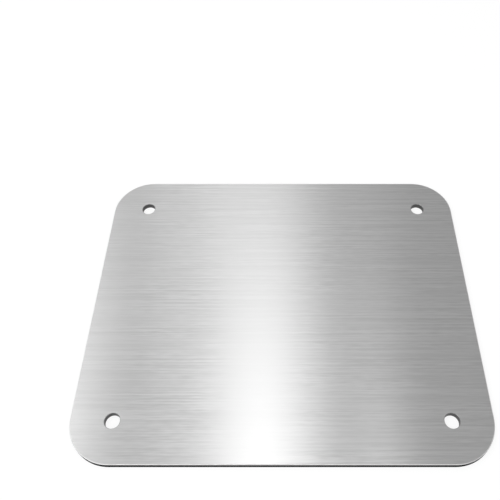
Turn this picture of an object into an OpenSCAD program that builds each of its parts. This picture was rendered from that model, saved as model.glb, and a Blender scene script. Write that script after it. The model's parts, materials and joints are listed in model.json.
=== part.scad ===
// Transom support plate: one flat piece of brushed stainless steel sheet with wide rounded
// corners and a bolt hole near each corner. The rims are rounded over and the holes' mouths
// are broken, as a deburred plate's are. It lies flat on z = 0 with its centre on the z axis
// and its longer side along X. All sizes are in millimetres.

/* [Plate] */
// Width of the plate, along X
plate_w = 300; // [200:1:450]
// Depth of the plate, along Y
plate_d = 250; // [180:1:400]
// Thickness of the sheet
plate_t = 5; // [3:0.5:10]
// Radius of the four corners, seen from above
corner_r = 32; // [10:1:45]
// Radius that rounds over the rim of both faces
rim_r = 0.6; // [0.2:0.1:1.2]

/* [Bolt holes] */
// Diameter of each bolt hole
hole_d = 11; // [6:0.5:16]
// Distance from the centre of a hole to each of the two nearest sides
hole_inset = 30; // [24:1:60]
// Width of the 45 degree break at both mouths of a hole
mouth_break = 0.3; // [0.1:0.1:0.6]

/* [Hidden] */
$fn = 96;
// Centres of the corner arcs and of the holes, from the middle of the plate
arc_x = plate_w / 2 - corner_r;
arc_y = plate_d / 2 - corner_r;
hole_x = plate_w / 2 - hole_inset;
hole_y = plate_d / 2 - hole_inset;
// How far each cutting tool runs past the face that it cuts
overrun = 1;

// Section of the sheet from x = 0 out to its edge at x = reach, with both rims rounded over
module sheet_section(reach) {
    square([reach - rim_r, plate_t]);
    translate([0, rim_r])
        square([reach, plate_t - 2 * rim_r]);
    for (y = [rim_r, plate_t - rim_r])
        translate([reach - rim_r, y])
            circle(r = rim_r);
}

// Straight part of the plate: the section on both sides of the middle, run along Y
module strip(full_width, length) {
    translate([0, length / 2, 0])
        rotate([90, 0, 0])
            linear_extrude(height = length) {
                sheet_section(full_width / 2);
                mirror([1, 0])
                    sheet_section(full_width / 2);
            }
}

// Rounded blank: two crossed strips, with the same section turned about each corner's centre
module blank() {
    strip(plate_w, 2 * arc_y);
    rotate([0, 0, 90])
        strip(plate_d, 2 * arc_x);
    for (x = [-arc_x, arc_x], y = [-arc_y, arc_y])
        translate([x, y, 0])
            rotate_extrude()
                sheet_section(corner_r);
}

// Break at the upper mouth of a hole, as a cone that opens towards the face
module mouth_cutter() {
    translate([0, 0, plate_t - mouth_break])
        cylinder(h = mouth_break + overrun, r1 = hole_d / 2, r2 = hole_d / 2 + mouth_break + overrun);
}

// Everything that one bolt hole takes out of the sheet
module hole_cutter() {
    translate([0, 0, -overrun])
        cylinder(h = plate_t + 2 * overrun, d = hole_d);
    mouth_cutter();
    translate([0, 0, plate_t])
        mirror([0, 0, 1])
            mouth_cutter();
}

module support_plate() {
    color("silver")
        difference() {
            blank();
            for (x = [-hole_x, hole_x], y = [-hole_y, hole_y])
                translate([x, y, 0])
                    hole_cutter();
        }
}

support_plate();
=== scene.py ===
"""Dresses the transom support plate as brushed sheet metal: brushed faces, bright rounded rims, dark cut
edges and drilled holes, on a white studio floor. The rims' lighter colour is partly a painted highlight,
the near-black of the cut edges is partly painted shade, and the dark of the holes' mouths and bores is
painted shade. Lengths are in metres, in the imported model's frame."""
import json
import math
import bmesh
import bpy
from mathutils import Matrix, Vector


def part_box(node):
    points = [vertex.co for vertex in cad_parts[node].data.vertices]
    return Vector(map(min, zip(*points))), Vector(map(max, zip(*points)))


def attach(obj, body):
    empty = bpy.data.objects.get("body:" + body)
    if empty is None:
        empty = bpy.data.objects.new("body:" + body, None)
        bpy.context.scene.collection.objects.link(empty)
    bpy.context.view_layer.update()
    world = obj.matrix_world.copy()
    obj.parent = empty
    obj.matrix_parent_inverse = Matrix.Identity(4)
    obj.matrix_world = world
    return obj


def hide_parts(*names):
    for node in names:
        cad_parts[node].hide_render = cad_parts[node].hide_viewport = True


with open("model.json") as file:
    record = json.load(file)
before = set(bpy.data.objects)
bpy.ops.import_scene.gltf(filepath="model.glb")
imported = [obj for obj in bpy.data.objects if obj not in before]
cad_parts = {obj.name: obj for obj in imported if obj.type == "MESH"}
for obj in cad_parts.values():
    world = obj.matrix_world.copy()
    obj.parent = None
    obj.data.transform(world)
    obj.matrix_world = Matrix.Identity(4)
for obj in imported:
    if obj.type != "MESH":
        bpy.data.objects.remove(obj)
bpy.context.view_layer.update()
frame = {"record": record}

# Sizes of the plate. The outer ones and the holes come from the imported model, and the radii repeat the
# values of its source. The break at the mouths of the holes, slanted there, is rounded here.
MM = 0.001
NODE = "support_plate"
low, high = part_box(NODE)
PLATE_W, PLATE_D, PLATE_T = high - low
CORNER_R = 32 * MM
RIM_R = 0.6 * MM
MOUTH_R = 0.3 * MM
mounts = {mount["name"]: mount for mount in frame["record"]["mounts"]}
holes = mounts["bolt_holes"]["dims"]
HOLE_R = holes["hole_r_mm"] * MM
HOLE_X = holes["spacing_x_mm"] * MM / 2
HOLE_Y = holes["spacing_y_mm"] * MM / 2

# Where the corner arcs are centred, and where the flat part of a face ends
ARC_X = PLATE_W / 2 - CORNER_R
ARC_Y = PLATE_D / 2 - CORNER_R
FLAT_R = CORNER_R - RIM_R

# How finely the mesh is cut
PATCH = 64 * MM       # side of the square of faces round each hole
CELL = 8 * MM         # aimed-for length of a face on the flats
SIDE_CUTS = 16        # faces along an inner side of a patch
STUB_CUTS = 8         # faces along the straight stub between a patch's corner and the arc
ARC_CUTS = 24         # faces round a corner arc
RIM_CUTS = 8          # faces over a rounded rim
RIM_BRIGHT = 6        # how many of those, next to the flat, take the rim's lighter colour, partly a painted highlight: the rest take the cut's dull near-black, partly painted shade
MOUTH_CUTS = 4        # faces over the rounded mouth of a hole
WELD = 0.001 * MM     # corners closer than this are joined
# How far out each ring of corners lies, from a hole's mouth to the border of its patch
RINGS = (0.0, 0.05, 0.14, 0.28, 0.48, 0.72, 1.0)
# Where the inner sides of a patch lie
PATCH_X = PLATE_W / 2 - PATCH
PATCH_Y = PLATE_D / 2 - PATCH

# Material slots of the plate's mesh
FACE, RIM, CUT, MOUTH, BORE = range(5)


class Skin:
    """Collects faces that share their corners, with the true normal of the surface at each corner."""

    def __init__(self):
        self.mesh = bmesh.new()
        self.grain = self.mesh.loops.layers.uv.new("grain")
        self.normal = self.mesh.verts.layers.float_vector.new("true_normal")

    def face(self, corners, slot):
        """corners is four (place, normal, uv) triples in order round the face, in either direction."""
        made = []
        for place, normal, _ in corners:
            vert = self.mesh.verts.new(place)
            vert[self.normal] = normal
            made.append(vert)
        face = self.mesh.faces.new(made)
        face.material_index = slot
        face.smooth = True
        for loop, (_, _, uv) in zip(face.loops, corners):
            loop[self.grain].uv = uv
        face.normal_update()
        if face.normal.dot(sum((Vector(normal) for _, normal, _ in corners), Vector())) < 0:
            face.normal_flip()

    def finished(self, name):
        """The mesh, with corners in one place joined and the true normals set."""
        bmesh.ops.remove_doubles(self.mesh, verts=self.mesh.verts, dist=WELD)
        normals = [vert[self.normal].copy() for vert in self.mesh.verts]
        self.mesh.verts.layers.float_vector.remove(self.normal)
        mesh = bpy.data.meshes.new(name)
        self.mesh.to_mesh(mesh)
        self.mesh.free()
        mesh.normals_split_custom_set_from_vertices(normals)
        return mesh


def steps(start, end, count):
    """count + 1 values from start to end."""
    return [start + (end - start) * i / count for i in range(count + 1)]


def arc(cuts):
    """(sine, cosine) pairs over a quarter turn."""
    return [(math.sin(a), math.cos(a)) for a in steps(0, math.pi / 2, cuts)]


def grid_cells(xs, ys):
    """The cells between two rows of values, each as four (x, y) corners."""
    return [((x0, y0), (x1, y0), (x1, y1), (x0, y1))
            for x0, x1 in zip(xs, xs[1:]) for y0, y1 in zip(ys, ys[1:])]


def outline_quarter():
    """Points along the line of arc centres and the outward normal at each, from the middle of the far side
    round to the middle of the right side."""
    along_x = steps(0, PATCH_X, round(PATCH_X / CELL)) + steps(PATCH_X, ARC_X, STUB_CUTS)[1:]
    along_y = steps(ARC_Y, PATCH_Y, STUB_CUTS) + steps(PATCH_Y, 0, round(PATCH_Y / CELL))[1:]
    return ([((x, ARC_Y), (0.0, 1.0)) for x in along_x]
            + [((ARC_X, ARC_Y), turn) for turn in arc(ARC_CUTS)[1:]]
            + [((ARC_X, y), (1.0, 0.0)) for y in along_y[1:]])


def patch_border():
    """Points round a patch on the flat: its outer sides with the arc between them, then its inner sides."""
    far = [(x, ARC_Y + FLAT_R) for x in steps(PATCH_X, ARC_X, STUB_CUTS)]
    turn = [(ARC_X + FLAT_R * s, ARC_Y + FLAT_R * c) for s, c in arc(ARC_CUTS)[1:]]
    right = [(ARC_X + FLAT_R, y) for y in steps(ARC_Y, PATCH_Y, STUB_CUTS)[1:]]
    near = [(x, PATCH_Y) for x in steps(ARC_X + FLAT_R, PATCH_X, SIDE_CUTS)[1:]]
    left = [(PATCH_X, y) for y in steps(PATCH_Y, ARC_Y + FLAT_R, SIDE_CUTS)[1:]]
    return far + turn + right + near + left


def hole_ring():
    """Unit directions from the hole's centre towards each point of the patch's border."""
    return [Vector((x - HOLE_X, y - HOLE_Y)).normalized() for x, y in patch_border()]


def flat_quarter():
    """Cells of one quarter of a face, each as four (x, y) corners."""
    middle_x = steps(0, PATCH_X, round(PATCH_X / CELL))
    middle_y = steps(0, PATCH_Y, round(PATCH_Y / CELL))
    outer_x = steps(PATCH_X, ARC_X + FLAT_R, SIDE_CUTS)
    outer_y = steps(PATCH_Y, ARC_Y + FLAT_R, SIDE_CUTS)
    cells = (grid_cells(middle_x, middle_y) + grid_cells(middle_x, outer_y)
             + grid_cells(outer_x, middle_y))
    mouth = [Vector((HOLE_X, HOLE_Y)) + turn * (HOLE_R + MOUTH_R) for turn in hole_ring()]
    rings = [[tuple(inner.lerp(Vector(outer), share)) for inner, outer in zip(mouth, patch_border())]
             for share in RINGS]
    for inner, outer in zip(rings, rings[1:]):
        cells += zip(inner, inner[1:], outer[1:], outer)
    return cells


def rounded_wall(flat_end, radius, side, cuts):
    """Points down a wall that is rounded at both faces of the sheet, from where the flat ends: (distance
    out, height, normal outwards, normal upwards). side is 1 where the wall lies further out than the
    flat's end, and -1 where it lies further in."""
    upper = [(flat_end + side * radius * s, PLATE_T - radius + radius * c, side * s, c)
             for s, c in arc(cuts)]
    lower = [(out, PLATE_T - height, outward, -upward) for out, height, outward, upward in reversed(upper)]
    return upper + lower


def wall_slots(cuts, bright, curved_slot, wall_slot):
    """The slots of the faces down a rounded wall. bright says how many at each end take the curved one."""
    return [curved_slot] * bright + [wall_slot] * (2 * (cuts - bright) + 1) + [curved_slot] * bright


def distances(spots):
    """How far along a line of spots each of them is."""
    run = [0.0]
    for spot, following in zip(spots, spots[1:]):
        run.append(run[-1] + math.dist(spot, following))
    return run


def sweep(skin, stations, profile, slots, mirror):
    """Runs a wall's profile past stations of (centre, direction). mirror is the quarter's pair of signs."""
    reach = profile[len(profile) // 2][0]
    run = distances([Vector(centre) + Vector(direction) * reach for centre, direction in stations])
    depth = distances([(out, height) for out, height, _, _ in profile])

    def corner(i, j):
        (cx, cy), (dx, dy) = stations[i]
        out, height, outward, upward = profile[j]
        place = ((cx + dx * out) * mirror[0], (cy + dy * out) * mirror[1], height)
        normal = (dx * outward * mirror[0], dy * outward * mirror[1], upward)
        return place, normal, (run[i], depth[j])

    for i in range(len(stations) - 1):
        for j, slot in enumerate(slots):
            skin.face([corner(i, j), corner(i + 1, j), corner(i + 1, j + 1), corner(i, j + 1)], slot)


def plate_mesh():
    """The plate's whole skin, one quarter at a time."""
    skin = Skin()
    cells = flat_quarter()
    edge = rounded_wall(FLAT_R, RIM_R, 1, RIM_CUTS)
    # The rim's faces next to the flat take its lighter colour, partly a painted highlight; the rest take
    # the cut's near-black, partly painted shade.
    edge_slots = wall_slots(RIM_CUTS, RIM_BRIGHT, RIM, CUT)
    ring = [((HOLE_X, HOLE_Y), tuple(turn)) for turn in hole_ring()]
    bore = rounded_wall(HOLE_R + MOUTH_R, MOUTH_R, -1, MOUTH_CUTS)
    bore_slots = wall_slots(MOUTH_CUTS, MOUTH_CUTS, MOUTH, BORE)
    for mirror in ((1, 1), (-1, 1), (-1, -1), (1, -1)):
        for cell in cells:
            spots = [(x * mirror[0], y * mirror[1]) for x, y in cell]
            for height, upward in ((PLATE_T, 1.0), (0.0, -1.0)):
                skin.face([((x, y, height), (0, 0, upward), (x, y)) for x, y in spots], FACE)
        sweep(skin, outline_quarter(), edge, edge_slots, mirror)
        sweep(skin, ring, bore, bore_slots, mirror)
    return skin.finished("dressed_plate")


# Materials

ACROSS_GRAIN = 0.25       # of a turn: highlights are drawn out across the brushed lines
NOISE_ROUGHNESS = 0.6     # how much the finer octaves of a noise count
SEED_SLANT = 1.7          # keeps the two coordinates of a noise's place apart
MIX_DARK, MIX_LIGHT, MIX_RESULT = 6, 7, 2    # the colour sockets of a Mix node

# Lines along Y where the brushed lines are faint: (x, distance within which they are faintest, distance
# past which they have their full strength, share of it that is left at the line)
# Along the middle the fading is a painted highlight washout, laid where the key lamp's highlight band
# falls.
FAINT_MIDDLE = (-20 * MM, 10 * MM, 50 * MM, 0.1)
FAINT_LEFT = (-PLATE_W / 2, 12 * MM, 50 * MM, 0.45)
# Along the middle they grow stronger with Y, as that highlight band grows weaker: (y where that starts, y
# where it ends, share left at each)
FAR_MIDDLE = (-60 * MM, 60 * MM, 0, 0.55)


def grey(level):
    return (level, level, level, 1)


class Shader:
    """A metal Principled shader, with its grain along U of the grain UV map, and the nodes that feed it.
    A value that a method takes is an output of a node or a number."""

    def __init__(self, name, anisotropy):
        self.material = bpy.data.materials.new(name)
        self.material.use_nodes = True
        self.tree = self.material.node_tree
        self.sockets = self.tree.nodes["Principled BSDF"].inputs
        self.sockets["Metallic"].default_value = 1
        self.sockets["Anisotropic"].default_value = anisotropy
        self.sockets["Anisotropic Rotation"].default_value = ACROSS_GRAIN
        tangent = self.add("ShaderNodeTangent", direction_type="UV_MAP", uv_map="grain")
        self.feed(tangent.outputs["Tangent"], self.sockets["Tangent"])

    def add(self, kind, **settings):
        """A node of that kind, with each setting put on the node or on the input of that name."""
        made = self.tree.nodes.new(kind)
        for name, value in settings.items():
            if hasattr(made, name):
                setattr(made, name, value)
            else:
                made.inputs[name].default_value = value
        return made

    def feed(self, value, socket):
        """Links an output to a socket, or sets the socket to a number."""
        if isinstance(value, bpy.types.NodeSocket):
            self.tree.links.new(value, socket)
        else:
            socket.default_value = value

    def streaks(self, across, along, seed, detail=2.0):
        """Noise that is drawn out by different lengths across the grain and along it. seed picks the
        place in the noise, and detail is how many finer octaves are added."""
        uv = self.add("ShaderNodeUVMap", uv_map="grain")
        stretch = self.add("ShaderNodeMapping", Location=(seed, seed * SEED_SLANT, 0),
                           Scale=(1 / along, 1 / across, 1))
        noise = self.add("ShaderNodeTexNoise", noise_dimensions="2D", Scale=1, Detail=detail,
                         Roughness=NOISE_ROUGHNESS)
        self.feed(uv.outputs["UV"], stretch.inputs["Vector"])
        self.feed(stretch.outputs["Vector"], noise.inputs["Vector"])
        return noise.outputs["Fac"]

    def combine(self, operation, *values):
        """The result of a Math node."""
        made = self.add("ShaderNodeMath", operation=operation)
        for value, socket in zip(values, made.inputs):
            self.feed(value, socket)
        return made.outputs[0]

    def weigh(self, *parts):
        """The sum of values times weights, from (value, weight) pairs."""
        total, *others = [self.combine("MULTIPLY", value, weight) for value, weight in parts]
        for more in others:
            total = self.combine("ADD", total, more)
        return total

    def ramp(self, value, low_in, high_in, low_out, high_out, way="LINEAR"):
        """value stretched from one range to another, in one of the ways of a Map Range node."""
        made = self.add("ShaderNodeMapRange", interpolation_type=way)
        for part, socket in zip((value, low_in, high_in, low_out, high_out), made.inputs):
            self.feed(part, socket)
        return made.outputs[0]

    def spread(self, noise, reach, low=0, high=1):
        """Noise stretched to run from low to high over its values within reach of 0.5."""
        return self.ramp(noise, 0.5 - reach, 0.5 + reach, low, high)

    def place(self, axis):
        """Where on the plate a point is, along X or Y."""
        spot = self.add("ShaderNodeTexCoord")
        split = self.add("ShaderNodeSeparateXYZ")
        self.feed(spot.outputs["Object"], split.inputs[0])
        return split.outputs[axis]

    def away_from(self, x, core, reach, least):
        """1 further than reach from the line along Y at x, and least within core of it."""
        off = self.combine("ABSOLUTE", self.combine("SUBTRACT", self.place("X"), x))
        return self.ramp(off, core, reach, least, 1, way="SMOOTHSTEP")

    def colour(self, value, dark, light):
        """Drives the base colour from dark to light as value goes from 0 to 1."""
        blend = self.add("ShaderNodeMix", data_type="RGBA")
        blend.inputs[MIX_DARK].default_value = dark
        blend.inputs[MIX_LIGHT].default_value = light
        self.feed(value, blend.inputs[0])
        self.feed(blend.outputs[MIX_RESULT], self.sockets["Base Color"])

    def roughness(self, value):
        self.feed(value, self.sockets["Roughness"])

    def bump(self, value, height):
        """Raises the surface by value times height."""
        made = self.add("ShaderNodeBump", Strength=1, Distance=height)
        self.feed(value, made.inputs["Height"])
        self.feed(made.outputs["Normal"], self.sockets["Normal"])


def brushed_face():
    """Sheet brushed along X: long lines of several widths, stronger in patches, and fainter along the
    sheet's middle and its left side. The fading along the middle is a painted highlight washout, laid where
    the key lamp's highlight band falls in the camera's view."""
    made = Shader("brushed_face", anisotropy=0.997)
    broad = made.streaks(across=5 * MM, along=260 * MM, seed=3.1, detail=0)
    lines = made.streaks(across=1.6 * MM, along=120 * MM, seed=11.7, detail=0)
    hairs = made.streaks(across=1.1 * MM, along=30 * MM, seed=27.3, detail=0)
    nicks = made.streaks(across=0.9 * MM, along=9 * MM, seed=19.4, detail=0)
    patches = made.streaks(across=9 * MM, along=120 * MM, seed=53.1, detail=1.0)
    pattern = made.weigh((broad, 0.08), (lines, 0.44), (hairs, 0.26), (nicks, 0.22))
    lift = made.spread(pattern, reach=0.14, low=-1, high=1)
    # Painted highlight washout: the lines fade where the key lamp's highlight band falls.
    far_middle = made.ramp(made.place("Y"), *FAR_MIDDLE)
    across_middle = made.combine("MAXIMUM", made.away_from(*FAINT_MIDDLE), far_middle)
    patchy = made.spread(patches, reach=0.15, low=0.26, high=0.54)
    strength = made.combine("MULTIPLY", patchy, across_middle)
    strength = made.combine("MULTIPLY", strength, made.away_from(*FAINT_LEFT))
    shade = made.ramp(made.combine("MULTIPLY", lift, strength), -1, 1, 0, 1)
    made.colour(shade, dark=grey(0.52), light=grey(0.72))
    made.roughness(made.ramp(shade, 0, 1, low_out=0.399, high_out=0.319))
    made.bump(pattern, height=0.002 * MM)
    return made.material


def rounded_rim():
    """Deburred rim, of a more even tone than the faces, with faint marks along it. Its colour is lighter
    than the faces' steel, partly a painted highlight for the bright line along the plate's edges.
    """
    made = Shader("rounded_rim", anisotropy=0.6)
    marks = made.streaks(across=0.12 * MM, along=9 * MM, seed=5.9)
    made.colour(made.spread(marks, reach=0.2), dark=grey(0.76), light=grey(0.81))
    made.roughness(made.spread(marks, reach=0.2, low=0.6, high=0.64))
    return made.material


def cut_edge():
    """Sheared edge: dull, with fine drag lines down the sheet's thickness. Its near-black colour and
    darkened reflections are partly the duller tone of a sheared edge and partly painted shade, for the
    shade the side walls are seen in.
    """
    made = Shader("cut_edge", anisotropy=0.5)
    made.roughness(0.6)
    # Darkens the edge's reflections: partly painted shade.
    made.sockets["Specular Tint"].default_value = grey(0.25)
    drag = made.streaks(across=4 * MM, along=0.45 * MM, seed=2.3)
    blotch = made.streaks(across=3 * MM, along=14 * MM, seed=8.8)
    pattern = made.weigh((drag, 0.6), (blotch, 0.4))
    # Near-black: partly the sheared edge's own duller tone, partly painted shade.
    made.colour(made.spread(pattern, reach=0.15), dark=grey(0.03), light=grey(0.055))
    made.bump(drag, height=0.03 * MM)
    return made.material


def broken_mouth():
    """Broken mouth of a hole: a narrow ring, duller than the rim. Its dark grey, far darker than the rim's,
    is painted shade at the hole's edge.
    """
    made = Shader("broken_mouth", anisotropy=0.5)
    made.roughness(0.45)
    marks = made.streaks(across=0.1 * MM, along=6 * MM, seed=4.2)
    # Dark grey: painted shade at the hole's edge.
    made.colour(made.spread(marks, reach=0.2), dark=grey(0.26), light=grey(0.34))
    return made.material


def drilled_bore():
    """Wall of a drilled hole, with fine rings round it. Its near-black colour is painted shade, for the
    shade inside the hole.
    """
    made = Shader("drilled_bore", anisotropy=0.5)
    made.roughness(0.5)
    rings = made.streaks(across=0.3 * MM, along=30 * MM, seed=6.4)
    # Near-black: painted shade inside the hole; the rings are the bore's own.
    made.colour(made.spread(rings, reach=0.15), dark=grey(0.075), light=grey(0.13))
    made.bump(rings, height=0.02 * MM)
    return made.material


# The plate

plate = bpy.data.objects.new("plate", plate_mesh())
bpy.context.scene.collection.objects.link(plate)
for make in (brushed_face, rounded_rim, cut_edge, broken_mouth, drilled_bore):
    plate.data.materials.append(make())
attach(plate, "root")
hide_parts(NODE)


# Studio

FLOOR_SIZE = 40
FLOOR_GAP = 0.05 * MM     # below the plate's lower face
FLOOR_GREY = 0.8          # of its paper, which takes the lamps and the shadow
FLOOR_GLOW = 1.08         # with the lit paper, this brings the floor to white
GLOW_SHARE = 0.8          # how much of what the camera and the metal see of the floor is glow
LAMP_HEIGHT = 1.2


def white_floor():
    """Floor that shows white to the camera and in the metal, and still takes the object's shadow."""
    material = bpy.data.materials.new("studio_floor")
    material.use_nodes = True
    tree = material.node_tree
    tree.nodes.clear()
    output = tree.nodes.new("ShaderNodeOutputMaterial")
    paper = tree.nodes.new("ShaderNodeBsdfDiffuse")
    paper.inputs["Color"].default_value = grey(FLOOR_GREY)
    glow = tree.nodes.new("ShaderNodeEmission")
    glow.inputs["Strength"].default_value = FLOOR_GLOW
    path = tree.nodes.new("ShaderNodeLightPath")
    seen = path.outputs["Is Camera Ray"]
    for name in ("Is Glossy Ray", "Is Transmission Ray"):
        either = tree.nodes.new("ShaderNodeMath")
        either.operation = "MAXIMUM"
        tree.links.new(seen, either.inputs[0])
        tree.links.new(path.outputs[name], either.inputs[1])
        seen = either.outputs[0]
    share = tree.nodes.new("ShaderNodeMath")
    share.operation = "MULTIPLY"
    share.inputs[1].default_value = GLOW_SHARE
    tree.links.new(seen, share.inputs[0])
    mix = tree.nodes.new("ShaderNodeMixShader")
    tree.links.new(share.outputs[0], mix.inputs[0])
    tree.links.new(paper.outputs[0], mix.inputs[1])
    tree.links.new(glow.outputs[0], mix.inputs[2])
    tree.links.new(mix.outputs[0], output.inputs["Surface"])
    return material


def floor():
    half = FLOOR_SIZE / 2
    mesh = bpy.data.meshes.new("floor")
    corners = [(-half, -half), (half, -half), (half, half), (-half, half)]
    mesh.from_pydata([(x, y, -FLOOR_GAP) for x, y in corners], [], [range(4)])
    made = bpy.data.objects.new("floor", mesh)
    bpy.context.scene.collection.objects.link(made)
    mesh.materials.append(white_floor())


def sky(*stops):
    """World of greys by height. stops are (sine of the elevation, level) pairs from the horizon up."""
    world = bpy.data.worlds.new("studio")
    bpy.context.scene.world = world
    world.use_nodes = True
    tree = world.node_tree
    background = tree.nodes["Background"]
    place = tree.nodes.new("ShaderNodeTexCoord")
    split = tree.nodes.new("ShaderNodeSeparateXYZ")
    blend = tree.nodes.new("ShaderNodeValToRGB")
    ramp = blend.color_ramp
    ramp.interpolation = "EASE"
    while len(ramp.elements) < len(stops):
        ramp.elements.new(1)
    for element, (sine, level) in zip(ramp.elements, stops):
        element.position = sine
        element.color = grey(level)
    tree.links.new(place.outputs["Generated"], split.inputs[0])
    tree.links.new(split.outputs["Z"], blend.inputs["Fac"])
    tree.links.new(blend.outputs["Color"], background.inputs["Color"])


def softbox(name, x, y, width, length, turn, radiance):
    """Area lamp that faces straight down. turn is about the vertical, in degrees."""
    lamp = bpy.data.lights.new(name, "AREA")
    lamp.shape = "RECTANGLE"
    lamp.size = width
    lamp.size_y = length
    lamp.energy = radiance * math.pi * width * length
    made = bpy.data.objects.new(name, lamp)
    made.location = (x, y, LAMP_HEIGHT)
    made.rotation_euler = (0, 0, math.radians(turn))
    bpy.context.scene.collection.objects.link(made)


floor()
sky((0.1, 1.0), (0.3, 0.861), (0.463, 0.861), (0.51, 0.442))
softbox("key", x=-0.0445, y=-0.01, width=0.23, length=0.302, turn=-33.0, radiance=8.9)
softbox("shoulder", x=-0.302, y=0.907, width=0.298, length=2.5, turn=5.9, radiance=0.722)
softbox("left_fill", x=-0.878, y=-0.586, width=0.505, length=2.053, turn=-14.5, radiance=2.66)
softbox("right_strip", x=0.233, y=-0.615, width=0.075, length=0.733, turn=-1.3, radiance=6.1)
softbox("right_end", x=0.527, y=-0.88, width=0.087, length=0.69, turn=7.5, radiance=2.54)


# Camera: fitted to the outline and the holes in the photograph

FRAME_PX = 500
FOCAL_PX = 643.4
CENTRE_X_PX = 285.8
CENTRE_Y_PX = 190
PITCH_DOWN = 50.06        # degrees
EYE = (2.5 * MM, -261.5 * MM, 457.4 * MM)
NEAREST = 10 * MM         # nothing closer is drawn
SENSOR = 36
lens = bpy.data.cameras.new("camera")
lens.sensor_width = SENSOR
lens.lens = SENSOR * FOCAL_PX / FRAME_PX
lens.shift_x = -(CENTRE_X_PX - FRAME_PX / 2) / FRAME_PX
lens.shift_y = (CENTRE_Y_PX - FRAME_PX / 2) / FRAME_PX
lens.clip_start = NEAREST
camera = bpy.data.objects.new("camera", lens)
camera.location = EYE
camera.rotation_euler = (math.radians(90 - PITCH_DOWN), 0, 0)
bpy.context.scene.collection.objects.link(camera)
bpy.context.scene.camera = camera
bpy.context.scene.view_settings.view_transform = "Standard"
